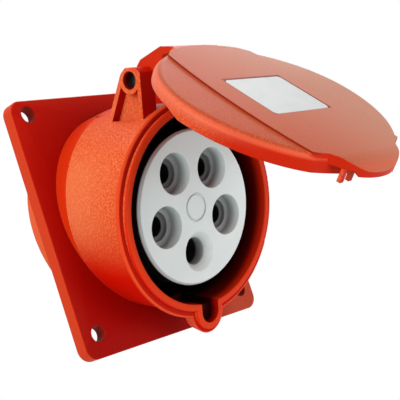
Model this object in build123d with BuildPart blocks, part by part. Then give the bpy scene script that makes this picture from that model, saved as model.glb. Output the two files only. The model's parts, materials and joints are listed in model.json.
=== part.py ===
from build123d import *
import os
from math import cos, radians, sin

os.makedirs("parts", exist_ok=True)

# Flange that lies on the panel
flange_width = 83.0
flange_height = 88.5
flange_thickness = 4.6
flange_corner = 4.5
flange_edge_round = 0.7
flange_drop = 1.4
hole_inset_x = 6.75
hole_inset_z = 6.5
hole_diameter = 5.6
spigot_inset = 3.5
spigot_wall = 2.5
spigot_depth = 8.0
spigot_height = 0.6
spigot_top = 14.6
gasket_width = 2.0
gasket_thickness = 1.6
gasket_gap = 0.4

# Sloping body
slope = 20.0
axis_height = 1.1
body_back_radius = 33.5
shoulder_radius = 37.2
shoulder_distance = 29.4
lip_radius = 34.6
lip_rise = 1.3
rim_round = 0.5
mouth_radius = 32.25
well_radius = 31.2
well_depth = 39.7
ledge_thickness = 5.0
skirt_radius = 33.9
skirt_height = 3.8
skirt_depth = 9.0
skirt_taper = 26.0

# Keyway at the bottom of the mouth
key_centre = 35.0
key_radius = 4.0
key_length = 4.4
key_groove_depth = 2.4
key_groove_length = 17.5
key_lip_wall = 2.3
key_bump_radius = 7.5
key_bump_length = 4.4
key_bump_taper = 12.0

# Hinge above the mouth
hinge_distance = 18.2
hinge_rise = 5.9
lug_outer = 16.9
lug_width = 6.2
lug_foot_back = 12.7
lug_back = 4.0
lug_front = 5.1
lug_foot_depth = 5.5
lug_shoulder_rise = 2.2
lug_top_rise = 4.1
lug_rib = 1.7
lug_pocket_depth = 4.2
boss_radius = 4.5
pin_radius = 2.5
pin_recess_radius = 2.9
pin_recess = 2.4
pin_seat_gap = 0.03
pin_running_gap = 0.06

# Contact insert
insert_radius = 26.1
insert_front_distance = 27.6
insert_edge_width = 0.7
insert_edge_depth = 1.0
insert_gap = 0.5
base_radius = 32.6
base_thickness = 4.5
base_gap = 0.4
contact_circle_radius = 15.05
mouth_hole_diameter = 13.8
mouth_hole_depth = 5.0
step_hole_diameter = 10.0
step_hole_depth = 1.2
line_hole_diameter = 6.9
earth_mouth_diameter = 13.4
earth_cone_depth = 2.6
earth_hole_diameter = 9.3
centre_mark_diameter = 9.6
centre_mark_width = 0.7
centre_mark_depth = 0.5

# Contacts, terminals and their carrier
pin_bore_diameter = 6.4
earth_bore_diameter = 8.4
sleeve_wall = 1.3
sleeve_gap = 0.2
sleeve_set_back = 12.0
sleeve_bore_depth = 30.0
collar_step = 0.7
terminal_length = 10.5
wire_bore_diameter = 5.0
wire_bore_depth = 9.0
clamp_ring_set_back = 2.6
clamp_ring_length = 3.0
clamp_ring_thickness = 0.5
clamp_ring_gap = 0.08
carrier_radius = 22.5
carrier_length = 12.0
terminal_screw_diameter = 4.0
terminal_screw_reach = 2.6
terminal_screw_inset = 1.0
terminal_screw_set_back = 6.5
screw_gap = 0.1
screw_slot_width = 0.8
screw_slot_depth = 1.0
insert_screw_diameter = 3.0
insert_screw_head = 5.2
insert_screw_head_height = 2.0
insert_screw_reach = 8.0
insert_screw_inset = 3.4
insert_screw_count = 3
carrier_screw_diameter = 4.0
carrier_screw_head = 7.5
carrier_screw_head_height = 2.5
carrier_screw_reach = 20.0

# Lid
open_angle = 61.15
lid_radius = 39.6
lid_hinge_reach = 34.3
lid_skirt_wall = 1.9
lid_skirt_rise = 1.15
lid_rest_gap = 0.5
lid_rim_height = 5.4
lid_rim_round = 2.4
band_rise = 0.6
band_half_width = 22.8
band_middle = -14.0
band_hinge_half_width = 19.2
band_hinge_end = 28.2
band_tab_half_width = 20.9
band_tab_end = -36.7
band_edge_inset = 0.4
arm_half_width = 10.4
arm_overhang = 0.9
arm_drop = 4.8
arm_fall = 1.2
arm_end_drop = 0.8
knuckle_radius = 5.2
spring_slot_half_width = 5.0
spring_slot_radius = 5.7
lid_gasket_radius = 32.6
lid_gasket_width = 1.8
lid_gasket_thickness = 1.0
lid_gasket_gap = 0.15
skirt_step_start = 0.0
skirt_step_end = 6.0
skirt_step_gap = 0.3
skirt_cut_start = 22.0
skirt_cut_end = 27.0
cut_margin = 1.0
label_width = 26.2
label_height = 21.7
label_centre = -1.25
label_thickness = 0.4
label_gap = 0.1
label_corner = 1.5

# Thumb tab
tab_half_width = 17.0
tab_reach = 12.8
tab_root = -34.0
tab_tip_drop = 2.9
tab_tip_thickness = 2.0
tab_clearance = 0.5
nub_width = 1.8
nub_depth = 1.6
nub_drop = 4.0
nub_inner = 9.5
nub_outer = 14.0
nub_inset = 6.1

# Lid spring
spring_wire = 1.2
spring_wire_sides = 8
spring_turns = 5
spring_pitch = 1.5
spring_gap = 0.25

# Places in the flange that follow from its size
hole_spacing_x = flange_width - 2 * hole_inset_x
hole_spacing_z = flange_height - 2 * hole_inset_z
spigot_radius = flange_width / 2 - spigot_inset

# Distances along the sloping axis, measured out from the flange's front face
lip_distance = shoulder_distance + lip_rise
floor_distance = lip_distance - well_depth
seat_distance = floor_distance - ledge_thickness
base_distance = seat_distance - base_thickness
carrier_distance = base_distance - carrier_length
sleeve_front = insert_front_distance - sleeve_set_back
lid_under = lip_distance + lid_rest_gap
lid_edge = shoulder_distance - lid_skirt_rise
lid_rim_top = lid_edge + lid_rim_height
band_top = lid_rim_top + band_rise

# Heights above the sloping axis
hinge_height = shoulder_radius + hinge_rise
lug_foot = body_back_radius - lug_foot_depth
lug_shoulder = hinge_height + lug_shoulder_rise
lug_top = hinge_height + lug_top_rise
arm_start = lid_hinge_reach + arm_overhang
arm_root = lid_hinge_reach - 2 * lid_rim_round
arm_under = hinge_height - arm_drop
insert_screw_circle_radius = base_radius - insert_screw_inset

# Directions of the sloping body: out of the mouth, and up across the mouth
right = Vector(1, 0, 0)
out = Vector(0, -cos(radians(slope)), -sin(radians(slope)))
up = Vector(0, -sin(radians(slope)), cos(radians(slope)))
axis_point = Vector(0, -flange_thickness, axis_height)
hinge_point = axis_point + out * hinge_distance + up * hinge_height

# The same directions carried round by the open lid
lid_out = out * cos(radians(open_angle)) + up * sin(radians(open_angle))
lid_up = up * cos(radians(open_angle)) - out * sin(radians(open_angle))
lid_point = hinge_point - lid_out * hinge_distance - lid_up * hinge_height

flange_back = Plane(origin=(0, 0, 0), x_dir=(1, 0, 0), z_dir=(0, -1, 0))
body_axis = Axis(axis_point, out)
lid_axis = Axis(lid_point, lid_out)


def across(distance):
    """Plane across the sloping axis: x to the right, y up the mouth, facing out."""
    return Plane(origin=axis_point + out * distance, x_dir=right, z_dir=out)


def beside(offset):
    """Plane along the sloping axis: x out of the mouth, y up, facing left."""
    return Plane(origin=axis_point + right * offset, x_dir=out, z_dir=-right)


def lid_across(distance):
    """Plane across the open lid, like across() for the body."""
    return Plane(origin=lid_point + lid_out * distance, x_dir=right, z_dir=lid_out)


def lid_beside(offset):
    """Plane along the open lid, like beside() for the body."""
    return Plane(origin=lid_point + right * offset, x_dir=lid_out, z_dir=-right)


body_profile = Plane(origin=axis_point, x_dir=right, z_dir=-up)
hinge_line = Plane(origin=hinge_point, x_dir=out, z_dir=-right)


def save(builder, name):
    builder.part.label = name
    export_step(builder.part, "parts/" + name + ".step")


def lug_outline():
    """Side view of a hinge lug: sloping back, rounded top, straight front."""
    with BuildSketch(mode=Mode.PRIVATE) as outline:
        with BuildLine():
            Polyline(
                (hinge_distance - lug_foot_back, lug_foot),
                (hinge_distance - lug_back, lug_shoulder),
                (hinge_distance - lug_back + boss_radius / 2, lug_top),
                (hinge_distance + lug_front - boss_radius / 2, lug_top),
                (hinge_distance + lug_front, lug_shoulder),
                (hinge_distance + lug_front, lug_foot),
                close=True,
            )
        make_face()
        fillet(outline.vertices().group_by(Axis.Y)[1:], boss_radius / 3)
    return outline.sketch


# Housing: flange, sloping body, rim, keyway, hinge lugs and rear spigot in one moulding
with BuildPart() as housing:
    with BuildSketch(flange_back):
        with Locations((0, -flange_drop)):
            RectangleRounded(flange_width, flange_height, flange_corner)
    extrude(amount=flange_thickness)
    fillet(housing.faces().sort_by(Axis.Y)[0].edges(), flange_edge_round)
    with BuildSketch(flange_back):
        with Locations((0, spigot_height)):
            Circle(spigot_radius)
            Circle(spigot_radius - spigot_wall, mode=Mode.SUBTRACT)
        with Locations((0, spigot_top)):
            Rectangle(
                2 * spigot_radius, 2 * spigot_radius, align=(Align.CENTER, Align.MIN), mode=Mode.SUBTRACT
            )
    extrude(amount=-spigot_depth)
    with BuildSketch(flange_back.offset(flange_thickness)):
        with Locations((0, skirt_height)):
            Circle(skirt_radius)
    extrude(amount=skirt_depth, taper=skirt_taper)
    with BuildSketch(body_profile):
        with BuildLine():
            Polyline(
                (0, seat_distance),
                (body_back_radius, seat_distance),
                (body_back_radius, 0),
                (shoulder_radius, shoulder_distance),
                (lip_radius, shoulder_distance),
                (lip_radius, lip_distance),
                (0, lip_distance),
                close=True,
            )
        body_face = make_face()
        fillet(body_face.vertices().sort_by(Axis.X)[-1], rim_round)
    revolve(axis=body_axis)
    with BuildSketch(across(shoulder_distance)):
        with Locations((0, -key_centre)):
            Circle(key_bump_radius)
    extrude(amount=-key_bump_length, taper=key_bump_taper)
    with BuildSketch(across(shoulder_distance)):
        with Locations((0, -key_centre)):
            Circle(key_radius + key_lip_wall)
    extrude(amount=lip_rise)
    for start in (lug_width - lug_outer, lug_outer):
        with BuildSketch(beside(start)):
            add(lug_outline())
        extrude(amount=lug_width)
    # Pockets in the outer sides of the lugs, below the pin bosses
    for face, inward in ((-lug_outer, -1), (lug_outer, 1)):
        with BuildSketch(beside(face)):
            add(offset(lug_outline(), amount=-lug_rib, mode=Mode.PRIVATE))
            with Locations((hinge_distance, hinge_height)):
                Circle(boss_radius, mode=Mode.SUBTRACT)
            with Locations((hinge_distance, hinge_height)):
                Rectangle(
                    4 * boss_radius, 2 * boss_radius, align=(Align.CENTER, Align.MIN), mode=Mode.SUBTRACT
                )
        extrude(amount=inward * lug_pocket_depth, mode=Mode.SUBTRACT)
    with BuildSketch(hinge_line):
        Circle(pin_radius + pin_seat_gap)
    extrude(amount=lug_outer, both=True, mode=Mode.SUBTRACT)
    for face, inward in ((-lug_outer, -1), (lug_outer, 1)):
        with BuildSketch(beside(face)):
            with Locations((hinge_distance, hinge_height)):
                Circle(pin_recess_radius)
        extrude(amount=inward * pin_recess, mode=Mode.SUBTRACT)
    # Well for the plug, ledge that carries the insert, and room behind it for the insert's base
    with BuildSketch(body_profile):
        with BuildLine():
            Polyline(
                (0, floor_distance),
                (well_radius, floor_distance),
                (mouth_radius, lip_distance),
                (0, lip_distance),
                close=True,
            )
        make_face()
    revolve(axis=body_axis, mode=Mode.SUBTRACT)
    with BuildSketch(across(lip_distance)):
        with Locations((0, -key_centre)):
            Circle(key_radius)
            Rectangle(2 * key_radius, key_centre, align=(Align.CENTER, Align.MIN))
    extrude(amount=-key_length, mode=Mode.SUBTRACT)
    with BuildSketch(across(lip_distance)):
        Rectangle(2 * key_radius, well_radius + key_groove_depth, align=(Align.CENTER, Align.MAX))
    extrude(amount=-key_groove_length, mode=Mode.SUBTRACT)
    with BuildSketch(across(floor_distance)):
        Circle(insert_radius + insert_gap)
    extrude(amount=-ledge_thickness, mode=Mode.SUBTRACT)
    with BuildSketch(across(seat_distance)):
        Circle(base_radius + base_gap)
    extrude(amount=-2 * flange_width, mode=Mode.SUBTRACT)
    with BuildSketch(across(seat_distance)):
        with PolarLocations(insert_screw_circle_radius, insert_screw_count, start_angle=90):
            Circle(insert_screw_diameter / 2 + screw_gap)
    extrude(amount=insert_screw_reach - base_thickness + screw_gap, mode=Mode.SUBTRACT)
    with BuildSketch(flange_back):
        with GridLocations(hole_spacing_x, hole_spacing_z, 2, 2):
            Circle(hole_diameter / 2)
    extrude(amount=flange_thickness, mode=Mode.SUBTRACT)
    with BuildSketch(flange_back):
        with Locations((0, spigot_height)):
            Circle(spigot_radius + gasket_gap + gasket_width)
            Circle(spigot_radius + gasket_gap, mode=Mode.SUBTRACT)
    extrude(amount=gasket_thickness, mode=Mode.SUBTRACT)
save(housing, "housing")

with BuildPart() as panel_gasket:
    with BuildSketch(flange_back):
        with Locations((0, spigot_height)):
            Circle(spigot_radius + gasket_gap + gasket_width)
            Circle(spigot_radius + gasket_gap, mode=Mode.SUBTRACT)
    extrude(amount=gasket_thickness)
save(panel_gasket, "panel_gasket")

# The five poles: name, angle on the contact circle, bore for the plug's pin
poles = (
    ("earth", -90, earth_bore_diameter),
    ("line_1", -18, pin_bore_diameter),
    ("line_2", 54, pin_bore_diameter),
    ("line_3", 126, pin_bore_diameter),
    ("neutral", 198, pin_bore_diameter),
)


def sleeve_radius(bore):
    return bore / 2 + sleeve_wall


def pole_place(angle):
    return (contact_circle_radius * cos(radians(angle)), contact_circle_radius * sin(radians(angle)))


def terminal_plane(angle):
    """Plane in the middle of one pole's terminal that faces away from the sloping axis."""
    direction = right * cos(radians(angle)) + up * sin(radians(angle))
    middle = axis_point + out * (base_distance - terminal_screw_set_back) + direction * contact_circle_radius
    return Plane(origin=middle, x_dir=out, z_dir=direction)


# Contact insert: barrel, base disc, five contact holes
with BuildPart() as insert:
    with BuildSketch(across(base_distance)):
        Circle(base_radius)
    extrude(amount=base_thickness)
    with BuildSketch(across(seat_distance)):
        Circle(insert_radius)
    extrude(amount=insert_front_distance - seat_distance)
    chamfer(
        insert.edges().sort_by(body_axis)[-1],
        length=insert_edge_width,
        length2=insert_edge_depth,
        reference=insert.faces().sort_by(body_axis)[-1],
    )
    for pole, angle, bore in poles:
        with BuildSketch(across(insert_front_distance)):
            with Locations(pole_place(angle)):
                if pole == "earth":
                    Circle(earth_mouth_diameter / 2)
                else:
                    Circle(mouth_hole_diameter / 2)
        if pole == "earth":
            with BuildSketch(across(insert_front_distance - earth_cone_depth)):
                with Locations(pole_place(angle)):
                    Circle(earth_hole_diameter / 2)
            loft(mode=Mode.SUBTRACT)
        else:
            extrude(amount=-mouth_hole_depth, mode=Mode.SUBTRACT)
            with BuildSketch(across(insert_front_distance - mouth_hole_depth)):
                with Locations(pole_place(angle)):
                    Circle(step_hole_diameter / 2)
            extrude(amount=-step_hole_depth, mode=Mode.SUBTRACT)
        with BuildSketch(across(sleeve_front)):
            with Locations(pole_place(angle)):
                if pole == "earth":
                    Circle(earth_hole_diameter / 2)
                else:
                    Circle(line_hole_diameter / 2)
        extrude(amount=sleeve_set_back, mode=Mode.SUBTRACT)
        with BuildSketch(across(base_distance)):
            with Locations(pole_place(angle)):
                Circle(sleeve_radius(bore) + sleeve_gap)
        extrude(amount=sleeve_front + sleeve_gap - base_distance, mode=Mode.SUBTRACT)
    with BuildSketch(across(insert_front_distance)):
        Circle(centre_mark_diameter / 2)
        Circle(centre_mark_diameter / 2 - centre_mark_width, mode=Mode.SUBTRACT)
    extrude(amount=-centre_mark_depth, mode=Mode.SUBTRACT)
    with BuildSketch(across(base_distance)):
        with PolarLocations(insert_screw_circle_radius, insert_screw_count, start_angle=90):
            Circle(insert_screw_diameter / 2 + screw_gap)
    extrude(amount=base_thickness, mode=Mode.SUBTRACT)
    with BuildSketch(across(base_distance)):
        Circle(carrier_screw_diameter / 2 + screw_gap)
    extrude(amount=carrier_screw_reach - carrier_length + screw_gap, mode=Mode.SUBTRACT)
save(insert, "contact_insert")

# Terminal carrier: block with a chamber and a screw hole for each terminal
with BuildPart() as carrier:
    with BuildSketch(across(carrier_distance)):
        Circle(carrier_radius)
        Circle(carrier_screw_diameter / 2 + screw_gap, mode=Mode.SUBTRACT)
        for pole, angle, bore in poles:
            with Locations(pole_place(angle)):
                Circle(sleeve_radius(bore) + collar_step + sleeve_gap, mode=Mode.SUBTRACT)
    extrude(amount=carrier_length)
    for pole, angle, bore in poles:
        with BuildSketch(terminal_plane(angle)):
            Circle(terminal_screw_diameter / 2 + sleeve_gap)
        extrude(amount=carrier_radius, mode=Mode.SUBTRACT)
save(carrier, "terminal_carrier")


def contact_sleeve(pole, angle, bore):
    """Brass sleeve: tube for the plug's pin in front, clamped wire terminal behind."""
    radius = sleeve_radius(bore)
    with BuildPart() as sleeve:
        with BuildSketch(across(base_distance)):
            with Locations(pole_place(angle)):
                Circle(radius)
        extrude(amount=sleeve_front - base_distance)
        with BuildSketch(across(base_distance)):
            with Locations(pole_place(angle)):
                Circle(radius + collar_step)
        extrude(amount=-terminal_length)
        with BuildSketch(across(sleeve_front)):
            with Locations(pole_place(angle)):
                Circle(bore / 2)
        extrude(amount=-sleeve_bore_depth, mode=Mode.SUBTRACT)
        with BuildSketch(across(base_distance - terminal_length)):
            with Locations(pole_place(angle)):
                Circle(wire_bore_diameter / 2)
        extrude(amount=wire_bore_depth, mode=Mode.SUBTRACT)
        with BuildSketch(terminal_plane(angle)):
            Circle(terminal_screw_diameter / 2 + screw_gap)
        extrude(amount=carrier_radius, mode=Mode.SUBTRACT)
        with BuildSketch(across(sleeve_front - clamp_ring_set_back)):
            with Locations(pole_place(angle)):
                Circle(radius + sleeve_gap)
                Circle(radius - clamp_ring_thickness - clamp_ring_gap, mode=Mode.SUBTRACT)
        extrude(amount=-clamp_ring_length - clamp_ring_gap, mode=Mode.SUBTRACT)
    save(sleeve, "sleeve_" + pole)


def clamp_ring(pole, angle, bore):
    """Open steel ring in the sleeve's groove that keeps the contact closed on the pin."""
    radius = sleeve_radius(bore)
    with BuildPart() as ring:
        with BuildSketch(across(sleeve_front - clamp_ring_set_back)):
            with Locations(pole_place(angle)):
                Circle(radius)
                Circle(radius - clamp_ring_thickness, mode=Mode.SUBTRACT)
                Rectangle(
                    2 * radius,
                    clamp_ring_thickness,
                    align=(Align.MIN, Align.CENTER),
                    mode=Mode.SUBTRACT,
                )
        extrude(amount=-clamp_ring_length)
    save(ring, "clamp_ring_" + pole)


def terminal_screw(pole, angle, bore):
    """Slotted grub screw that presses the wire into its terminal."""
    length = carrier_radius - terminal_screw_inset - contact_circle_radius - terminal_screw_reach
    with BuildPart() as screw:
        with BuildSketch(terminal_plane(angle).offset(terminal_screw_reach)):
            Circle(terminal_screw_diameter / 2)
        extrude(amount=length)
        with BuildSketch(terminal_plane(angle).offset(terminal_screw_reach + length)):
            Rectangle(2 * terminal_screw_diameter, screw_slot_width)
        extrude(amount=-screw_slot_depth, mode=Mode.SUBTRACT)
    save(screw, "terminal_screw_" + pole)


for pole in poles:
    contact_sleeve(*pole)
    clamp_ring(*pole)
    terminal_screw(*pole)

# Screws that hold the insert against the ledge
with BuildPart() as insert_screws:
    with BuildSketch(across(base_distance)):
        with PolarLocations(insert_screw_circle_radius, insert_screw_count, start_angle=90):
            Circle(insert_screw_diameter / 2)
    extrude(amount=insert_screw_reach)
    with BuildSketch(across(base_distance)):
        with PolarLocations(insert_screw_circle_radius, insert_screw_count, start_angle=90):
            Circle(insert_screw_head / 2)
    extrude(amount=-insert_screw_head_height)
    with BuildSketch(across(base_distance - insert_screw_head_height)):
        with PolarLocations(insert_screw_circle_radius, insert_screw_count, start_angle=90):
            Rectangle(2 * insert_screw_head, screw_slot_width)
    extrude(amount=screw_slot_depth, mode=Mode.SUBTRACT)
save(insert_screws, "insert_screws")

# Central screw that holds the carrier to the insert
with BuildPart() as carrier_screw:
    with BuildSketch(across(carrier_distance)):
        Circle(carrier_screw_diameter / 2)
    extrude(amount=carrier_screw_reach)
    with BuildSketch(across(carrier_distance)):
        Circle(carrier_screw_head / 2)
    extrude(amount=-carrier_screw_head_height)
    with BuildSketch(across(carrier_distance - carrier_screw_head_height)):
        Rectangle(2 * carrier_screw_head, screw_slot_width)
    extrude(amount=screw_slot_depth, mode=Mode.SUBTRACT)
save(carrier_screw, "carrier_screw")

# Thumb tab: side profile with a turned-down grip, trimmed to a rounded outline
tab_under = lip_distance + tab_clearance
grip_start = key_centre + key_bump_radius + tab_clearance
tab_tip = -tab_root + tab_reach
with BuildPart() as tab:
    with BuildSketch(lid_beside(0)):
        with BuildLine():
            Polyline(
                (band_top, tab_root),
                (band_top, band_tab_end),
                (band_top - tab_tip_drop, -tab_tip),
                (band_top - tab_tip_drop - tab_tip_thickness, -tab_tip),
                (band_top - tab_tip_drop - tab_tip_thickness, -grip_start),
                (tab_under, -grip_start),
                (tab_under, tab_root),
                close=True,
            )
        make_face()
    extrude(amount=tab_half_width, both=True)
    with BuildSketch(lid_across(lid_edge)):
        with Locations((0, tab_root)):
            Ellipse(tab_half_width, tab_reach)
    extrude(amount=2 * lid_rim_height, mode=Mode.INTERSECT)


def lid_outline(inset):
    """Outline of the lid, inset all round: half a circle, and half an ellipse at the hinge."""
    with BuildSketch(mode=Mode.PRIVATE) as outline:
        with BuildLine():
            CenterArc((0, 0), lid_radius - inset, 180, 180)
            EllipticalCenterArc(
                (0, 0), lid_radius - inset, lid_hinge_reach - inset, 0, arc_size=180
            )
        make_face()
    return outline.sketch


# Lid: flat cover with a skirt, raised band, arm, knuckle, tab and label recess
with BuildPart() as lid:
    with BuildSketch(lid_across(lid_edge)):
        add(lid_outline(0))
    extrude(amount=lid_rim_height)
    fillet(lid.faces().sort_by(lid_axis)[-1].edges(), lid_rim_round)
    with BuildSketch(lid_across(lid_edge)):
        add(lid_outline(lid_skirt_wall))
    extrude(amount=lid_under - lid_edge, mode=Mode.SUBTRACT)
    # The skirt gets lower towards the hinge
    with BuildSketch(lid_beside(0)):
        with BuildLine():
            Polyline(
                (lid_edge, skirt_step_start),
                (shoulder_distance + skirt_step_gap, skirt_step_end),
                (shoulder_distance + skirt_step_gap, skirt_cut_start),
                (lid_under, skirt_cut_end),
                (lid_under, lid_radius + cut_margin),
                (lid_edge - cut_margin, lid_radius + cut_margin),
                (lid_edge - cut_margin, skirt_step_start),
                close=True,
            )
        make_face()
    extrude(amount=lid_radius, both=True, mode=Mode.SUBTRACT)
    # Way through the skirt for the keyway
    with BuildSketch(lid_across(lid_under)):
        with Locations((0, -key_centre)):
            Circle(key_bump_radius + tab_clearance)
            Rectangle(2 * (key_bump_radius + tab_clearance), key_centre, align=(Align.CENTER, Align.MAX))
    extrude(amount=lid_edge - lid_under, mode=Mode.SUBTRACT)
    # Raised band from the hinge to the tab, with slightly bowed sides
    with BuildSketch(lid_across(lid_under)):
        with BuildLine():
            for side in (-1, 1):
                ThreePointArc(
                    (side * band_hinge_half_width, band_hinge_end),
                    (side * band_half_width, band_middle),
                    (side * band_tab_half_width, band_tab_end),
                )
                Line((side * band_hinge_half_width, band_hinge_end), (side * arm_half_width, arm_start))
            Line((-arm_half_width, arm_start), (arm_half_width, arm_start))
            Line((-band_tab_half_width, band_tab_end), (band_tab_half_width, band_tab_end))
        make_face()
        add(lid_outline(band_edge_inset), mode=Mode.INTERSECT)
    extrude(amount=band_top - lid_under)
    with BuildSketch(lid_beside(0)):
        with BuildLine():
            Polyline(
                (hinge_distance, hinge_height + knuckle_radius),
                (hinge_distance + knuckle_radius, hinge_height + knuckle_radius - arm_fall),
                (lid_under, arm_start + knuckle_radius),
                (band_top - arm_end_drop, arm_start),
                (band_top - arm_end_drop, arm_root),
                (lid_under, arm_root),
                (lid_under, arm_start),
                (shoulder_distance, arm_under),
                (hinge_distance, arm_under),
                close=True,
            )
        make_face()
    extrude(amount=arm_half_width, both=True)
    with BuildSketch(hinge_line):
        Circle(knuckle_radius)
    extrude(amount=arm_half_width, both=True)
    with BuildSketch(hinge_line):
        Circle(spring_slot_radius)
    extrude(amount=spring_slot_half_width, both=True, mode=Mode.SUBTRACT)
    with BuildSketch(hinge_line):
        Circle(pin_radius + pin_running_gap)
    extrude(amount=arm_half_width, both=True, mode=Mode.SUBTRACT)
    add(tab.part)
    # Groove for the gasket
    with BuildSketch(lid_across(lid_under)):
        Circle(lid_gasket_radius + lid_gasket_width / 2)
        Circle(lid_gasket_radius - lid_gasket_width / 2, mode=Mode.SUBTRACT)
    extrude(amount=lid_gasket_thickness + lid_gasket_gap - lid_rest_gap, mode=Mode.SUBTRACT)
    with BuildSketch(lid_across(tab_under)):
        nub_places = (-nub_outer, -nub_inner, nub_inner, nub_outer)
        with Locations(*[(place, nub_inset - tab_tip) for place in nub_places]):
            Rectangle(nub_width, nub_depth)
    extrude(amount=-nub_drop)
    with BuildSketch(lid_across(band_top)):
        with Locations((0, label_centre)):
            RectangleRounded(label_width + 2 * label_gap, label_height + 2 * label_gap, label_corner)
    extrude(amount=-label_thickness, mode=Mode.SUBTRACT)
save(lid, "lid")

with BuildPart() as lid_gasket:
    with BuildSketch(lid_across(lip_distance + lid_gasket_gap)):
        Circle(lid_gasket_radius + lid_gasket_width / 2)
        Circle(lid_gasket_radius - lid_gasket_width / 2, mode=Mode.SUBTRACT)
    extrude(amount=lid_gasket_thickness)
save(lid_gasket, "lid_gasket")

with BuildPart() as label:
    with BuildSketch(lid_across(band_top - label_thickness)):
        with Locations((0, label_centre)):
            RectangleRounded(label_width, label_height, label_corner)
    extrude(amount=label_thickness)
save(label, "label")

with BuildPart() as hinge_pin:
    with BuildSketch(hinge_line):
        Circle(pin_radius)
    extrude(amount=lug_outer - pin_recess, both=True)
save(hinge_pin, "hinge_pin")

# Lid spring: close coil round the pin, in the slot of the knuckle
spring_radius = pin_radius + spring_gap + spring_wire / 2
spring_length = spring_turns * spring_pitch
with BuildPart() as lid_spring:
    with BuildLine() as coil:
        Helix(
            pitch=spring_pitch,
            height=spring_length,
            radius=spring_radius,
            center=hinge_point - right * (spring_length / 2),
            direction=right,
        )
    with BuildSketch(Plane(origin=coil.line @ 0, z_dir=coil.line % 0)):
        RegularPolygon(spring_wire / 2, spring_wire_sides)
    sweep()
save(lid_spring, "lid_spring")
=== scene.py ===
import json
import math

import bmesh
import bpy
from mathutils import Matrix, Vector


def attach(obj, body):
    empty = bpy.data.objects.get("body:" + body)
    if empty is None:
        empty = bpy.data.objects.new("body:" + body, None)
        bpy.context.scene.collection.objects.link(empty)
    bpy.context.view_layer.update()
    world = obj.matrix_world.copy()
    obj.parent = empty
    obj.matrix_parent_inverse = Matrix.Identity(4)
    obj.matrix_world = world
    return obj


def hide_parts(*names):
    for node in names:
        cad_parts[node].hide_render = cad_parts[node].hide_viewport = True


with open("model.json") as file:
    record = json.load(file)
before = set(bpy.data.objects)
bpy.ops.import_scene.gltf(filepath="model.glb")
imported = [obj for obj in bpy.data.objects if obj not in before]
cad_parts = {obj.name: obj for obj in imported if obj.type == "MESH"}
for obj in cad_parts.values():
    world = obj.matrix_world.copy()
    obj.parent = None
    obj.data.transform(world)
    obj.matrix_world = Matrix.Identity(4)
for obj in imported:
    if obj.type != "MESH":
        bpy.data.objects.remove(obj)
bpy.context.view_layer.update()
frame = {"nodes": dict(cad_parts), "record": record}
nodes = frame["nodes"]

# Ways of the row frame. Lengths in this script are in metres, and colours are linear
RIGHT = (1.0, 0.0, 0.0)
INWARD = (0.0, 1.0, 0.0)
UPWARD = (0.0, 0.0, 1.0)

# Sloping axis of the body: a point on it, the way out of the mouth, and the way up across it
SLOPE = math.radians(20.0)
AXIS_POINT = Vector((0.0, -0.0046, 0.0011))
OUT = Vector((0.0, -math.cos(SLOPE), -math.sin(SLOPE)))
UP = Vector((0.0, -math.sin(SLOPE), math.cos(SLOPE)))

# Open lid's frame: the way its top faces, the way from the tab to the hinge, and a point on its axis
HINGE = Vector((0.0, -0.036444, 0.035376))
LID_ANGLE = math.radians(61.15)
LID_OUT = OUT * math.cos(LID_ANGLE) + UP * math.sin(LID_ANGLE)
LID_UP = UP * math.cos(LID_ANGLE) - OUT * math.sin(LID_ANGLE)
LID_POINT = HINGE - LID_OUT * 0.0182 - LID_UP * 0.0431

# Distances for finding a surface of the solid, closing seams, cutting, and joining the moved lid's vertices
NEAR = 0.00003
SEAM = 1e-6
ON_PLANE = 1e-7
JOIN = 2e-6

# Angle between faces from which an edge is shaded as sharp
SHARP = math.radians(30.0)

# Solid housing that the dressed one starts from: flange, cone with a rounded rim, and skirt
FLANGE_FRONT = -0.0046
CONE_RADIUS = 0.0335
CONE_GROWTH = (0.0372 - 0.0335) / 0.0294
CONE_SPAN = (-0.020, 0.0295)
RIM_SPAN = (0.0287, 0.02945)
RIM_RADII = (0.0365, 0.03722)
SKIRT_RADIUS = 0.0339
SKIRT_HEIGHT = 0.0038
SKIRT_TAPER = math.tan(math.radians(26.0))

# Hinge lugs: where they stand on the body, and the floor of their pockets in the solid and in the photograph
LUG_RISE = 0.020
LUG_HALF = 0.0172
POCKET_RISE = 0.025
POCKET_FLOOR = 0.0127
POCKET_RAISED = 0.0138

# Lip round the mouth, how sharp its edges are in the solid, and its rounding
LIP_RADIUS = 0.0346
LIP_TOP = 0.0307
LIP_TURN = 1.0
LIP_ROUND = 0.0009
LIP_STEPS = 4

# Middle of the keyway's round end, and how far from it the lip starts
KEY_RISE = -0.035
KEY_CLEAR = 0.0055

# Body of the photograph: distance out along the axis and radius there, ending in a thin collar
BODY_CURVE = ((0.0, 0.0344), (0.0266, 0.0349), (0.0284, 0.0367), (0.0294, 0.0367))
COLLAR_START = BODY_CURVE[1][0]
COLLAR_FULL = BODY_CURVE[2][0]

# Straight stub at the flange, and the plane where it turns into the sloping body
STUB_RADIUS = 0.0348
STUB_HEIGHT = 0.0008
STUB_TAPER = math.tan(math.radians(4.5))
STUB_END = 0.012
STUB_JOIN = 0.00015
MITRE_POINT = AXIS_POINT + OUT * 0.0030
MITRE_WAY = Vector((0.0, -math.cos(SLOPE / 2), -math.sin(SLOPE / 2)))

# Thumb tab of the solid lid, how much shorter and narrower it gets, and where it is cut so that it can bend
TAB_ROOT = -0.0340
TAB_HALF = 0.0170
TAB_REACH = 0.0128
TAB_SHORTER = 9.8 / 12.8
TAB_NARROWER = 0.09
TAB_NARROW_SPAN = 0.004
TAB_CUTS = (
    -0.0340, -0.0350, -0.0360, -0.0367, -0.0380, -0.0390, -0.0400, -0.0415, -0.0430, -0.0445, -0.0458
)

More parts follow.
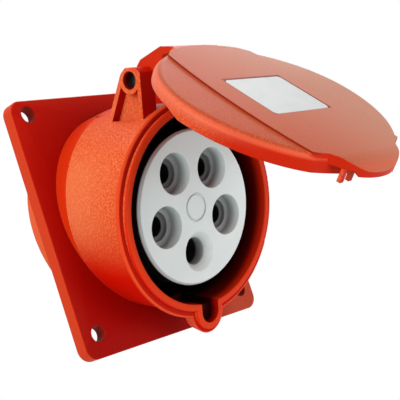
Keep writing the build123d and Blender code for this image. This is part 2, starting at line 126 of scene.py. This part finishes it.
# Fall of the tab: straight in the solid, curved in the photograph. Heights are along the lid's axis
TAB_BEND = -0.0367
TAB_TIP = -0.0438
TAB_SLOPE = 2.9 / 10.1
TAB_DROP = 0.0034
TAB_UNDER = 0.0316

# Grip under the tab's tip: its start in the solid, its start and depth now, and its depth at the sides
GRIP_START = -0.0430
GRIP_ROOT = -0.0418
GRIP_TOP = TAB_UNDER - 0.0010
GRIP_BOTTOM = 0.02975
GRIP_SIDE = 0.0313


def body_place(point):
    """Distance out along the sloping axis, and height above it, of a point."""
    away = point - AXIS_POINT
    return away.dot(OUT), away.dot(UP)


def curve_radius(distance):
    """Radius of the photograph's body at a distance out along the axis."""
    if distance <= BODY_CURVE[0][0]:
        return BODY_CURVE[0][1]
    for (low, start), (high, end) in zip(BODY_CURVE, BODY_CURVE[1:]):
        if distance <= high:
            return start + (end - start) * (distance - low) / (high - low)
    return BODY_CURVE[-1][1]


def on_body(point):
    """Whether a point lies on the outside of the solid's body, its rounded rim or its skirt."""
    distance, height = body_place(point)
    radius = math.hypot(point.x, height)
    on_cone = abs(radius - CONE_RADIUS - CONE_GROWTH * distance) < NEAR
    if on_cone and CONE_SPAN[0] < distance < CONE_SPAN[1]:
        return point.y < FLANGE_FRONT + NEAR
    if RIM_SPAN[0] < distance < RIM_SPAN[1] and RIM_RADII[0] < radius < RIM_RADII[1]:
        return True
    forward = FLANGE_FRONT - point.y
    taper = SKIRT_RADIUS - forward * SKIRT_TAPER
    return forward > -NEAR and abs(math.hypot(point.x, point.z - SKIRT_HEIGHT) - taper) < NEAR


def body_move(point):
    """Place on the photograph's body for a point on the outside of the solid's body."""
    distance, height = body_place(point)
    radius = math.hypot(point.x, height)
    on_flange = abs(point.y - FLANGE_FRONT) < NEAR
    if (point - MITRE_POINT).dot(MITRE_WAY) < -NEAR:
        wide = STUB_RADIUS - (FLANGE_FRONT - point.y) * STUB_TAPER
        turn = math.atan2(point.x, point.z - STUB_HEIGHT)
        return Vector((wide * math.sin(turn), point.y, STUB_HEIGHT + wide * math.cos(turn)))
    wide = curve_radius(distance)
    if distance > COLLAR_START and radius > CONE_RADIUS:
        wide += min(0.0, radius - CONE_RADIUS - CONE_GROWTH * distance)
    if height > LUG_RISE and abs(point.x) < LUG_HALF:
        # Beside the lugs a point goes straight down, so that the lugs' feet stay in line
        side, rise = point.x, math.sqrt(wide * wide - point.x * point.x)
    else:
        side, rise = point.x * wide / radius, height * wide / radius
    moved = AXIS_POINT + OUT * distance + UP * rise
    moved.x = side
    if on_flange:
        moved += OUT * ((FLANGE_FRONT - moved.y) / OUT.y)
    return moved


def tab_move(point):
    """Place on the shorter, curved tab for a point of the solid lid."""
    away = point - LID_POINT
    reach = away.dot(LID_UP)
    if reach > TAB_ROOT:
        return point
    high = away.dot(LID_OUT)
    far = TAB_ROOT + (reach - TAB_ROOT) * TAB_SHORTER
    rise = 0.0
    if reach < TAB_BEND:
        part = min(1.0, max(0.0, (TAB_BEND - far) / (TAB_BEND - TAB_TIP)))
        rise = (TAB_BEND - reach) * TAB_SLOPE - TAB_DROP * part * part
    if high < TAB_UNDER:
        rise = min(rise, 0.0)
    if reach < GRIP_START + NEAR and high < TAB_UNDER:
        # The grip under the tip stays clear of the keyway when the lid is closed
        if reach > GRIP_START - NEAR:
            inner = 1.0 - (away.x / TAB_HALF) ** 2
            edge = TAB_ROOT - TAB_REACH * TAB_SHORTER * math.sqrt(max(0.0, inner))
            far = max(GRIP_ROOT, edge + NEAR)
        if high < GRIP_TOP:
            high = GRIP_BOTTOM if far < GRIP_ROOT + NEAR else GRIP_SIDE
        rise = 0.0
    moved = LID_POINT + LID_UP * far + LID_OUT * (high + rise)
    moved.x = away.x * (1.0 - TAB_NARROWER * min(1.0, (TAB_ROOT - reach) / TAB_NARROW_SPAN))
    return moved


def welded(node):
    """Editable copy of a CAD node's mesh with its seams closed."""
    shape = bmesh.new()
    shape.from_mesh(node.data)
    bmesh.ops.remove_doubles(shape, verts=shape.verts, dist=SEAM)
    return shape


def cut(shape, faces, place, way):
    """Split some faces along a plane and return the new edges."""
    parts = list(faces)
    parts += dict.fromkeys(edge for face in faces for edge in face.edges)
    parts += dict.fromkeys(vert for face in faces for vert in face.verts)
    made = bmesh.ops.bisect_plane(shape, geom=parts, dist=ON_PLANE, plane_co=place, plane_no=way)
    return [item for item in made["geom_cut"] if isinstance(item, bmesh.types.BMEdge)]


def mend_flange(shape):
    """Lay the triangles of the flange's front face afresh, up to its new round edge."""
    flat = [face for face in shape.faces if all(abs(vert.co.y - FLANGE_FRONT) < NEAR for vert in face.verts)]
    around = dict.fromkeys(edge for face in flat for edge in face.edges)
    inner = [edge for edge in around if all(face in flat for face in edge.link_faces)]
    bmesh.ops.beautify_fill(shape, faces=flat, edges=inner)


def lip_edges(shape):
    """Sharp edges along the top of the lip, apart from those at the keyway."""
    found = []
    for edge in shape.edges:
        places = [(vert.co.x, *body_place(vert.co)) for vert in edge.verts]
        if any(abs(distance - LIP_TOP) > NEAR for _, distance, _ in places):
            continue
        wide = min(math.hypot(side, height) for side, _, height in places)
        from_key = min(math.hypot(side, height - KEY_RISE) for side, _, height in places)
        if wide > LIP_RADIUS - NEAR and from_key > KEY_CLEAR and edge.calc_face_angle(0.0) > LIP_TURN:
            found.append(edge)
    return found


def piece_from(shape, name, body, node, sharp=()):
    """New visual piece that stands for a CAD node and rides on its body."""
    for face in shape.faces:
        face.smooth = True
    for edge in shape.edges:
        edge.smooth = edge.calc_face_angle(0.0) < SHARP
    for edge in sharp:
        if edge.is_valid:
            edge.smooth = False
    mesh = bpy.data.meshes.new(name)
    shape.to_mesh(mesh)
    shape.free()
    if "custom_normal" in mesh.attributes:
        mesh.attributes.remove(mesh.attributes["custom_normal"])
    made = bpy.data.objects.new(name, mesh)
    bpy.context.scene.collection.objects.link(made)
    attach(made, body)
    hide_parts(node)
    return made


def dressed_housing():
    """Housing with the stub, near cylinder, collar, rounded lip and shallow lug pockets of the photograph."""
    shape = welded(nodes["housing"])
    mark = shape.faces.layers.int.new("outside")
    for face in shape.faces:
        if all(on_body(vert.co) for vert in face.verts):
            face[mark] = 1
    for distance in (COLLAR_START, COLLAR_FULL):
        cut(shape, [face for face in shape.faces if face[mark]], AXIS_POINT + OUT * distance, OUT)
    crease = cut(shape, [face for face in shape.faces if face[mark]], MITRE_POINT, MITRE_WAY)
    outside = dict.fromkeys(vert for face in shape.faces if face[mark] for vert in face.verts)
    for vert in outside:
        vert.co = body_move(vert.co)
    low = [vert for vert in outside if body_place(vert.co)[0] < STUB_END]
    bmesh.ops.remove_doubles(shape, verts=low, dist=STUB_JOIN)
    mend_flange(shape)
    for vert in shape.verts:
        if abs(abs(vert.co.x) - POCKET_FLOOR) < NEAR and body_place(vert.co)[1] > POCKET_RISE:
            vert.co.x *= POCKET_RAISED / POCKET_FLOOR
    bmesh.ops.bevel(
        shape,
        geom=lip_edges(shape),
        offset=LIP_ROUND,
        segments=LIP_STEPS,
        profile=0.5,
        affect="EDGES",
        clamp_overlap=True,
    )
    return piece_from(shape, "dressed_housing", "housing", "housing", crease)


def dressed_lid():
    """Lid whose thumb tab is a little shorter and falls in a curve."""
    shape = welded(nodes["lid"])
    for reach in TAB_CUTS:
        place = LID_POINT + LID_UP * reach
        faces = [
            face
            for face in shape.faces
            if min((vert.co - LID_POINT).dot(LID_UP) for vert in face.verts) < reach
        ]
        cut(shape, faces, place, LID_UP)
    for vert in shape.verts:
        vert.co = tab_move(vert.co)
    bmesh.ops.remove_doubles(shape, verts=shape.verts, dist=JOIN)
    bmesh.ops.dissolve_degenerate(shape, dist=JOIN, edges=shape.edges)
    return piece_from(shape, "dressed_lid", "lid", "lid")


housing_piece = dressed_housing()
lid_piece = dressed_lid()


class Material:
    """A node material with short calls for the nodes that this scene uses."""

    def __init__(self, name):
        self.material = bpy.data.materials.new(name)
        self.material.use_nodes = True
        self.tree = self.material.node_tree
        self.shader = self.tree.nodes["Principled BSDF"]
        self.coords = self.tree.nodes.new("ShaderNodeTexCoord")

    def node(self, kind, **settings):
        made = self.tree.nodes.new(kind)
        for key, value in settings.items():
            setattr(made, key, value)
        return made

    def put(self, value, socket):
        """Link an output to a socket, or set the socket to a number, vector or colour."""
        if isinstance(value, bpy.types.NodeSocket):
            self.tree.links.new(value, socket)
        elif isinstance(value, (int, float)):
            socket.default_value = value
        elif socket.type == "RGBA":
            socket.default_value = (*value, 1.0)
        else:
            socket.default_value = value

    def vector(self, operation, a, b):
        made = self.node("ShaderNodeVectorMath", operation=operation)
        self.put(a, made.inputs[0])
        self.put(b, made.inputs[1])
        return made.outputs["Value" if operation == "DOT_PRODUCT" else "Vector"]

    def length(self, value):
        """Length of a vector."""
        made = self.node("ShaderNodeVectorMath", operation="LENGTH")
        self.put(value, made.inputs[0])
        return made.outputs["Value"]

    def number(self, operation, a, b):
        made = self.node("ShaderNodeMath", operation=operation)
        self.put(a, made.inputs[0])
        self.put(b, made.inputs[1])
        return made.outputs["Value"]

    def both(self, first, *others):
        """Product of some masks."""
        for other in others:
            first = self.number("MULTIPLY", first, other)
        return first

    def size(self, value):
        """A number without its sign."""
        return self.number("ABSOLUTE", value, 0.0)

    def noise(self, scale, detail=4.0, rough=0.55):
        made = self.node("ShaderNodeTexNoise")
        self.put(scale, made.inputs["Scale"])
        self.put(detail, made.inputs["Detail"])
        self.put(rough, made.inputs["Roughness"])
        self.put(self.coords.outputs["Object"], made.inputs["Vector"])
        return made.outputs["Fac"]

    def ramp(self, value, low, high, start=0.0, end=1.0):
        """Smooth step of a value from low to high, as a number from start to end."""
        made = self.node("ShaderNodeMapRange", interpolation_type="SMOOTHSTEP")
        for name, given in (
            ("Value", value),
            ("From Min", low),
            ("From Max", high),
            ("To Min", start),
            ("To Max", end),
        ):
            self.put(given, made.inputs[name])
        return made.outputs["Result"]

    def spread(self, noise, start=0.0, end=1.0):
        """The usual range of a noise, as a number from start to end."""
        return self.ramp(noise, 0.3, 0.7, start, end)

    def mix(self, factor, a, b):
        """Colour between a and b; each is a colour or another node's output."""
        made = self.node("ShaderNodeMix", data_type="RGBA")
        self.put(factor, made.inputs[0])
        self.put(a, made.inputs[6])
        self.put(b, made.inputs[7])
        return made.outputs[2]

    def part(self, direction):
        """Distance of the shaded point from the row frame's origin, along a direction."""
        return self.vector("DOT_PRODUCT", self.coords.outputs["Object"], direction)

    def from_axis(self):
        """Place of the shaded point, measured from the start of the sloping axis."""
        return self.vector("SUBTRACT", self.coords.outputs["Object"], AXIS_POINT)

    def along(self):
        """Distance out along the sloping axis."""
        return self.vector("DOT_PRODUCT", self.from_axis(), OUT)

    def rise(self):
        """Height above the sloping axis."""
        return self.vector("DOT_PRODUCT", self.from_axis(), UP)

    def radius(self):
        """Distance from the sloping axis."""
        return self.length(self.vector("CROSS_PRODUCT", self.from_axis(), OUT))

    def from_key(self):
        """Distance from the middle of the keyway's round end."""
        away = self.vector("SUBTRACT", self.from_axis(), UP * KEY_RISE)
        return self.length(self.vector("CROSS_PRODUCT", away, OUT))

    def from_mitre(self):
        """Distance in front of the plane where the stub ends."""
        away = self.vector("SUBTRACT", self.coords.outputs["Object"], MITRE_POINT)
        return self.vector("DOT_PRODUCT", away, MITRE_WAY)

    def from_hinge(self):
        """Distance from the hinge's line."""
        away = self.vector("SUBTRACT", self.coords.outputs["Object"], HINGE)
        return self.length(self.vector("MULTIPLY", away, (0.0, 1.0, 1.0)))

    def lid_part(self, direction):
        """Distance from a point on the lid's axis, along a direction."""
        away = self.vector("SUBTRACT", self.coords.outputs["Object"], LID_POINT)
        return self.vector("DOT_PRODUCT", away, direction)

    def facing(self, direction):
        """How far the surface faces a direction of the row frame, from -1 to 1."""
        return self.vector("DOT_PRODUCT", self.coords.outputs["Normal"], direction)

    def specular(self, level, tint=None):
        """Strength of the reflection seen head on, and its tint."""
        self.put(level, self.shader.inputs["Specular IOR Level"])
        if tint:
            self.put(tint, self.shader.inputs["Specular Tint"])

    def finish(self, colour, rough, height, strength, distance, edge):
        """Colour, roughness and bump, with edges softened by a small radius."""
        self.put(colour, self.shader.inputs["Base Color"])
        self.put(rough, self.shader.inputs["Roughness"])
        soft = self.node("ShaderNodeBevel", samples=6)
        self.put(edge, soft.inputs["Radius"])
        bump = self.node("ShaderNodeBump")
        self.put(strength, bump.inputs["Strength"])
        self.put(distance, bump.inputs["Distance"])
        self.put(height, bump.inputs["Height"])
        self.put(soft.outputs["Normal"], bump.inputs["Normal"])
        self.put(bump.outputs["Normal"], self.shader.inputs["Normal"])
        return self.material


# Directions of painted light on the red: a painted highlight towards the light on the left, and a painted
# sheen on the left of the body
LIGHT = Vector((-0.80, 0.25, 0.55)).normalized()
SHEEN = (-0.97, 0.08, 0.22)

# Colours of the housing: its red, and the painted highlights, glints, sheen and shade laid on it
BODY_LIT_HIGHLIGHT = (0.68, 0.082, 0.016)
BODY_BRIGHT = (0.66, 0.006, 0.0004)
BODY_SPECK_GLINT = (0.86, 0.21, 0.075)
BODY_SHEEN = (0.84, 0.23, 0.095)
STUB_SHADE_RED = (0.62, 0.026, 0.003)
FLANGE_SIDE_LIT = (0.60, 0.045, 0.012)
FLANGE_SHADE_LOW = (0.27, 0.0010, 0.0006)
FLANGE_SHADE_HIGH = (0.42, 0.0040, 0.0008)
FLANGE_CORNER_SHEEN = (0.40, 0.052, 0.025)
SPIGOT_LIT_RED = (0.74, 0.110, 0.036)
SHOULDER_SHADE_RED = (0.38, 0.005, 0.001)
LIP_HIGHLIGHT_RED = (0.58, 0.037, 0.008)
COLLAR_HIGHLIGHT_RED = (0.72, 0.060, 0.014)
KEY_SHADE_MOUTH = (0.45, 0.004, 0.0008)
KEY_SHADE_DEEP = (0.020, 0.001, 0.0008)
HOLE_SHADE_RED = (0.30, 0.008, 0.001)
RECESS_SHADE_MOUTH = (0.36, 0.012, 0.002)
RECESS_SHADE_DEEP = (0.020, 0.004, 0.003)
BODY_TINT = (1.0, 0.45, 0.30)

# Shade in the well: from where to where along the axis, and its colour
WELL_SHADES = (
    (0.0309, 0.0304, (0.42, 0.012, 0.0015)),
    (0.0302, 0.0262, (0.08, 0.0012, 0.0005)),
    (0.0260, 0.0180, (0.003, 0.001, 0.001)),
)

# Panel holes: their places either side of the middle, and where their walls start
HOLE_SIDE = 0.03475
HOLE_RISE = 0.03775
HOLE_WALL = (0.00290, 0.00283)

# Colours of the lid: its red, and the painted highlights, glints, sheen and shadow lines laid on it
LID_LIT_HIGHLIGHT = (0.70, 0.085, 0.022)
LID_BRIGHT = (0.50, 0.014, 0.002)
LID_SPECK_GLINT = (0.78, 0.16, 0.07)
TOP_LEFT = (0.38, 0.045, 0.009)
TOP_RIGHT_SHEEN = (0.43, 0.185, 0.120)
TOP_SPECK_GLINT = (0.56, 0.15, 0.065)
LID_EDGE_HIGHLIGHT = (0.76, 0.18, 0.09)
LID_RIM_HIGHLIGHT = (0.74, 0.17, 0.09)
BAND_SHADOW_LINE = (0.26, 0.016, 0.004)
LABEL_SHADOW_LINE = (0.15, 0.006, 0.002)
ARM_SHADE_RED = (0.57, 0.022, 0.003)
LID_TINT = (1.0, 0.44, 0.24)

# Label's recess: its middle below the lid's axis, and its edges at the right, top, left and bottom
LABEL_BELOW = 0.00125
LABEL_RIGHT = (0.0140, 0.0138)
LABEL_TOP = (0.0119, 0.0117)
LABEL_LEFT = (-0.01345, -0.0133)
LABEL_BOTTOM = (-0.0111, -0.01095)

# Colours of the insert: grey tones, a painted paler top, and painted shade
INSERT_LOW = (0.59, 0.64, 0.63)
INSERT_HIGH = (0.62, 0.67, 0.66)
INSERT_TOP_LIGHT = (0.76, 0.88, 0.87)
INSERT_SHADE = (0.22, 0.228, 0.226)
SHADE_BLACK = (0.010, 0.010, 0.010)


def red_plastic(m, highlight, bright, speck_glint):
    """Colour of the red moulding with a painted highlight: paler towards the light, where a fine grain of
    specks shows as painted glints.
    """
    grain = m.noise(1700.0, 2.0, 0.6)
    light = m.ramp(m.facing(LIGHT), 0.40, 0.95)
    cloud = m.ramp(m.noise(60.0, 3.0, 0.5), 0.35, 0.7, 0.0, 0.15)
    colour = m.mix(cloud, m.mix(light, bright, highlight), bright)
    glint_specks = m.both(light, m.ramp(grain, 0.40, 0.66, 0.0, 0.75))
    return m.mix(glint_specks, colour, speck_glint), grain


def key_walls(m):
    """One on the floor and walls of the keyway and of the groove behind it."""
    side = m.ramp(m.size(m.part(RIGHT)), 0.00425, 0.00405)
    tall = m.both(m.ramp(m.rise(), -0.0310, -0.0320), m.ramp(m.rise(), -0.0394, -0.0391))
    groove = m.ramp(m.radius(), 0.0340, 0.0338)
    keyway = m.ramp(m.along(), 0.0258, 0.0262)
    ends = m.both(m.ramp(m.along(), 0.03068, 0.0305), m.ramp(m.along(), 0.0122, 0.0130))
    return m.both(side, tall, m.number("MAXIMUM", groove, keyway), ends)


def hole_walls(m):
    """One on the walls of the four panel holes."""
    wide = m.number("SUBTRACT", m.size(m.part(RIGHT)), HOLE_SIDE)
    tall = m.number("SUBTRACT", m.size(m.part(UPWARD)), HOLE_RISE)
    squares = m.number("ADD", m.number("MULTIPLY", wide, wide), m.number("MULTIPLY", tall, tall))
    return m.ramp(m.number("SQRT", squares, 0.0), *HOLE_WALL)


def housing_plastic(name):
    """Red of the housing with painted light and shade: painted shade in deep red in front, a painted
    highlight in orange on the lip, and painted shade dark down in the well.
    """
    m = Material(name)
    colour, grain = red_plastic(m, BODY_LIT_HIGHLIGHT, BODY_BRIGHT, BODY_SPECK_GLINT)
    # Painted sheen on the left of the body, strongest near the stub
    sheen = m.both(m.ramp(m.facing(SHEEN), 0.80, 1.0), m.ramp(m.along(), 0.027, 0.003))
    colour = m.mix(m.both(sheen, 0.45), colour, BODY_SHEEN)
    # Painted shade on the smooth stub between the flange and the sloping body, in a duller saturated red
    colour = m.mix(m.ramp(m.from_mitre(), 0.00005, -0.00015), colour, STUB_SHADE_RED)
    # Painted light on the sides of the flange, toned down from the lit body, and a paler painted highlight on
    # the spigot behind it
    depth = m.part(INWARD)
    colour = m.mix(m.ramp(depth, -0.0050, -0.0046), colour, FLANGE_SIDE_LIT)
    colour = m.mix(m.ramp(depth, 0.0000, 0.0004), colour, SPIGOT_LIT_RED)
    # Painted shade on the front faces: deep red flange, darker towards the bottom, with a painted sheen in
    # its lower right corner, a dull shoulder in painted shade and a painted highlight in orange on the lip
    deep = m.mix(m.ramp(m.part(UPWARD), -0.045, 0.035), FLANGE_SHADE_LOW, FLANGE_SHADE_HIGH)
    corner_sheen = m.both(m.ramp(m.part(RIGHT), 0.010, 0.032), m.ramp(m.part(UPWARD), -0.015, -0.034))
    deep = m.mix(corner_sheen, deep, FLANGE_CORNER_SHEEN)
    shoulder_shade = m.mix(m.ramp(m.along(), 0.0250, 0.0262), deep, SHOULDER_SHADE_RED)
    face = m.mix(m.ramp(m.along(), 0.0297, 0.0303), shoulder_shade, LIP_HIGHLIGHT_RED)
    colour = m.mix(m.ramp(m.facing(OUT), 0.35, 0.95), colour, face)
    # Painted highlight on the rounded edge of the collar, which stops at the keyway
    edge = m.both(m.ramp(m.radius(), 0.0358, 0.0363), m.ramp(m.along(), 0.0282, 0.0286))
    ring = m.both(m.ramp(m.from_key(), 0.0074, 0.0069), m.ramp(m.rise(), -0.030, -0.032))
    colour = m.mix(m.both(edge, m.number("SUBTRACT", 1.0, ring)), colour, COLLAR_HIGHLIGHT_RED)
    # Painted shade in the well: darker and darker inwards
    inside = m.ramp(m.radius(), 0.0330, 0.0324)
    for start, end, dark in WELL_SHADES:
        colour = m.mix(m.both(inside, m.ramp(m.along(), start, end)), colour, dark)
    # Painted shade on the keyway's floor and walls, darker with depth
    key = m.mix(m.ramp(m.along(), 0.0305, 0.0265), KEY_SHADE_MOUTH, KEY_SHADE_DEEP)
    colour = m.mix(key_walls(m), colour, key)
    # Painted shade on the walls of the panel holes and of the pin's recess, darker with depth in the recess
    colour = m.mix(hole_walls(m), colour, HOLE_SHADE_RED)
    recess_shade = m.mix(m.ramp(m.size(m.part(RIGHT)), 0.0168, 0.0150), RECESS_SHADE_MOUTH, RECESS_SHADE_DEEP)
    colour = m.mix(m.ramp(m.from_hinge(), 0.0032, 0.0028), colour, recess_shade)
    m.specular(0.10, BODY_TINT)
    rough = m.spread(grain, 0.42, 0.56)
    return m.finish(colour, rough, grain, strength=0.25, distance=0.00008, edge=0.0004)


def lid_plastic(name):
    """Red of the lid with painted light and shade: its flat top is duller than its rim, and its grain shows
    painted glints.
    """
    m = Material(name)
    colour, grain = red_plastic(m, LID_LIT_HIGHLIGHT, LID_BRIGHT, LID_SPECK_GLINT)
    across = m.part(RIGHT)
    rise = m.lid_part(LID_UP)
    high = m.lid_part(LID_OUT)
    tilt = m.facing(LID_OUT)
    # Flat top, duller than the rim, from orange on the left to a painted sheen in paler brown on the right,
    # with grain specks painted as glints
    top_sheen = m.mix(m.ramp(across, -0.032, 0.036), TOP_LEFT, TOP_RIGHT_SHEEN)
    top = m.mix(m.ramp(grain, 0.40, 0.70, 0.0, 0.45), top_sheen, TOP_SPECK_GLINT)
    colour = m.mix(m.ramp(tilt, 0.55, 0.97), colour, top)
    # Painted highlight on the rounded edge of the top
    edge_highlight = m.both(m.ramp(tilt, 0.10, 0.55), m.ramp(tilt, 0.95, 0.65))
    colour = m.mix(m.both(edge_highlight, 0.40), colour, LID_EDGE_HIGHLIGHT)
    # Painted highlight on the rim below it, paler above and towards the hinge
    highlight = m.both(m.ramp(high, 0.0290, 0.0330), m.ramp(rise, -0.028, -0.002, 0.0, 0.7))
    colour = m.mix(m.both(highlight, m.ramp(tilt, 0.60, 0.30)), colour, LID_RIM_HIGHLIGHT)
    # Painted shadow: a dark line along the sides of the raised band
    band_shadow = m.both(m.ramp(high, 0.03362, 0.03372), m.ramp(tilt, 0.90, 0.75))
    band_shadow = m.both(band_shadow, m.ramp(m.size(rise), 0.0345, 0.0335))
    colour = m.mix(band_shadow, colour, BAND_SHADOW_LINE)
    # Painted shadow in the recess round the label, seen on the sides away from the camera
    lift = m.number("ADD", rise, LABEL_BELOW)
    far = m.both(m.ramp(across, *LABEL_RIGHT), m.ramp(lift, *LABEL_TOP))
    near = m.both(m.ramp(across, *LABEL_LEFT), m.ramp(lift, *LABEL_BOTTOM))
    colour = m.mix(m.both(far, near), colour, LABEL_SHADOW_LINE)
    # Painted shade on the arm and knuckle: a darker red without the painted highlight
    colour = m.mix(m.ramp(rise, 0.0345, 0.0360), colour, ARM_SHADE_RED)
    m.specular(0.16, LID_TINT)
    rough = m.spread(grain, 0.36, 0.50)
    return m.finish(colour, rough, grain, strength=0.12, distance=0.00008, edge=0.0004)


def grey_plastic(name):
    """Smooth light grey moulding of the insert, painted paler at the top; painted shade darkens its contact
    holes and makes its barrel go dark in the well.
    """
    m = Material(name)
    grain = m.noise(1100.0, 3.0, 0.6)
    cloud = m.noise(90.0, 3.0, 0.5)
    colour = m.mix(m.spread(cloud), INSERT_LOW, INSERT_HIGH)
    # Painted light: paler and cooler towards the top, against the lid's shade and the red light thrown back
    # by the housing
    colour = m.mix(m.ramp(m.rise(), -0.022, 0.022), colour, INSERT_TOP_LIGHT)
    # Painted shade in the contact holes: greyer with depth, black at their bottom, and not on the base behind
    front = m.ramp(m.along(), -0.0125, -0.0100)
    shade = m.both(front, m.ramp(m.along(), 0.0274, 0.0218, 0.0, 0.85))
    colour = m.mix(shade, colour, INSERT_SHADE)
    colour = m.mix(m.both(front, m.ramp(m.along(), 0.0222, 0.0208)), colour, SHADE_BLACK)
    # Barrel, in the shade of the well
    barrel = m.both(m.ramp(m.radius(), 0.0254, 0.0259), m.ramp(m.along(), 0.0269, 0.0262))
    colour = m.mix(m.both(front, barrel), colour, SHADE_BLACK)
    m.specular(0.3)
    rough = m.spread(grain, 0.42, 0.52)
    return m.finish(colour, rough, grain, strength=0.10, distance=0.00008, edge=0.0005)


def plain_plastic(name, low, high, rough):
    """Moulded plastic or rubber with a faint cloud and grain."""
    m = Material(name)
    grain = m.noise(1200.0, 3.0, 0.6)
    colour = m.mix(m.spread(m.noise(150.0)), low, high)
    uneven = m.spread(grain, rough - 0.06, rough + 0.06)
    return m.finish(colour, uneven, grain, strength=0.15, distance=0.0001, edge=0.0003)


def metal(name, low, high, rough, scale):
    """Metal with small tarnish marks and fine tool marks."""
    m = Material(name)
    marks = m.noise(scale, 5.0, 0.65)
    colour = m.mix(m.spread(m.noise(260.0)), low, high)
    m.put(1.0, m.shader.inputs["Metallic"])
    uneven = m.spread(marks, rough - 0.08, rough + 0.10)
    return m.finish(colour, uneven, marks, strength=0.12, distance=0.00005, edge=0.0002)


housing_red = housing_plastic("housing_red")
lid_red = lid_plastic("lid_red")
by_slot = {
    "red_plastic": housing_red,
    "grey_plastic": grey_plastic("insert_grey"),
    "dark_plastic": plain_plastic("carrier_dark", (0.045, 0.045, 0.05), (0.065, 0.065, 0.07), 0.5),
    "rubber": plain_plastic("rubber", (0.018, 0.018, 0.018), (0.03, 0.03, 0.03), 0.75),
    "label_film": plain_plastic("label_film", (0.50, 0.515, 0.51), (0.53, 0.545, 0.54), 0.45),
    "brass": metal("brass", (0.55, 0.38, 0.14), (0.68, 0.50, 0.22), 0.32, 1800.0),
    "spring_steel": metal("spring_steel", (0.45, 0.45, 0.46), (0.56, 0.56, 0.57), 0.35, 2200.0),
    "plated_steel": metal("plated_steel", (0.55, 0.56, 0.57), (0.66, 0.66, 0.66), 0.30, 1500.0),
    "black_steel": metal("black_steel", (0.035, 0.035, 0.038), (0.06, 0.06, 0.062), 0.30, 1500.0),
}
looks = [(housing_piece, housing_red), (lid_piece, lid_red)]
for entry in frame["record"]["subparts"]:
    chosen = lid_red if entry["node"] == "lid" else by_slot[entry["material_slot"]]
    looks.append((nodes[entry["node"]], chosen))
for piece, chosen in looks:
    piece.data.materials.clear()
    piece.data.materials.append(chosen)


def area_light(name, place, target, size, watts):
    """Square lamp at a place that shines at a target."""
    data = bpy.data.lights.new(name, "AREA")
    data.size = size
    data.energy = watts
    lamp = bpy.data.objects.new(name, data)
    lamp.location = place
    lamp.rotation_euler = (Vector(target) - Vector(place)).to_track_quat("-Z", "Y").to_euler()
    bpy.context.scene.collection.objects.link(lamp)


# Soft key from the left, softer top light, a broad front fill, and a light that glances off the lid
area_light("key", (-0.9, -0.25, 0.35), (0.0, -0.02, 0.0), size=0.6, watts=7.0)
area_light("top", (-0.1, 0.1, 1.0), (0.0, -0.03, 0.0), size=0.8, watts=3.0)
area_light("front", (0.2, -1.1, -0.05), (0.0, -0.03, 0.0), size=0.8, watts=8.0)
area_light("glance", (0.80, 0.30, 0.75), (0.03, -0.05, 0.03), size=0.4, watts=1.5)

# World: white where it is seen, softer where it lights the part
SEEN_STRENGTH = 1.0
LIGHT_STRENGTH = 0.35
world = bpy.data.worlds.new("studio")
bpy.context.scene.world = world
world.use_nodes = True
tree = world.node_tree
back = tree.nodes["Background"]
path = tree.nodes.new("ShaderNodeLightPath")
first = tree.nodes.new("ShaderNodeMath")
first.operation = "MAXIMUM"
second = tree.nodes.new("ShaderNodeMath")
second.operation = "MAXIMUM"
strength = tree.nodes.new("ShaderNodeMapRange")
tree.links.new(path.outputs["Is Camera Ray"], first.inputs[0])
tree.links.new(path.outputs["Is Glossy Ray"], first.inputs[1])
tree.links.new(first.outputs["Value"], second.inputs[0])
tree.links.new(path.outputs["Is Transmission Ray"], second.inputs[1])
tree.links.new(second.outputs["Value"], strength.inputs["Value"])
strength.inputs["To Min"].default_value = LIGHT_STRENGTH
strength.inputs["To Max"].default_value = SEEN_STRENGTH
tree.links.new(strength.outputs["Result"], back.inputs["Strength"])
back.inputs["Color"].default_value = (1.0, 1.0, 1.0, 1.0)

# Pale floor well below the part, which hangs on its panel
FLOOR_HALF = 0.9
FLOOR_HEIGHT = -0.5
floor_mesh = bpy.data.meshes.new("floor")
floor_corners = [
    (side * FLOOR_HALF, deep * FLOOR_HALF, FLOOR_HEIGHT)
    for side, deep in ((-1, -1), (1, -1), (1, 1), (-1, 1))
]
floor_mesh.from_pydata(floor_corners, [], [(0, 1, 2, 3)])
floor = bpy.data.objects.new("floor", floor_mesh)
bpy.context.scene.collection.objects.link(floor)
floor_mesh.materials.append(plain_plastic("floor_paint", (0.93, 0.93, 0.93), (0.95, 0.95, 0.95), 0.7))

# Camera fitted to the photograph: its place, and its ways to the right, down and forward
CAMERA_PLACE = (-0.229339, -0.250961, -0.043938)
CAMERA_RIGHT = Vector((0.679505, -0.661075, -0.318202))
CAMERA_DOWN = Vector((-0.140464, 0.308468, -0.940807))
CAMERA_FORWARD = Vector((0.720099, 0.683979, 0.116748))
camera_data = bpy.data.cameras.new("camera")
camera_data.lens = 86.73
camera_data.sensor_width = 36.0
camera_data.clip_start = 0.01
camera = bpy.data.objects.new("camera", camera_data)
turn = Matrix((CAMERA_RIGHT, -CAMERA_DOWN, -CAMERA_FORWARD)).transposed()
camera.matrix_world = Matrix.Translation(CAMERA_PLACE) @ turn.to_4x4()
bpy.context.scene.collection.objects.link(camera)
bpy.context.scene.camera = camera

bpy.context.scene.view_settings.view_transform = "Standard"
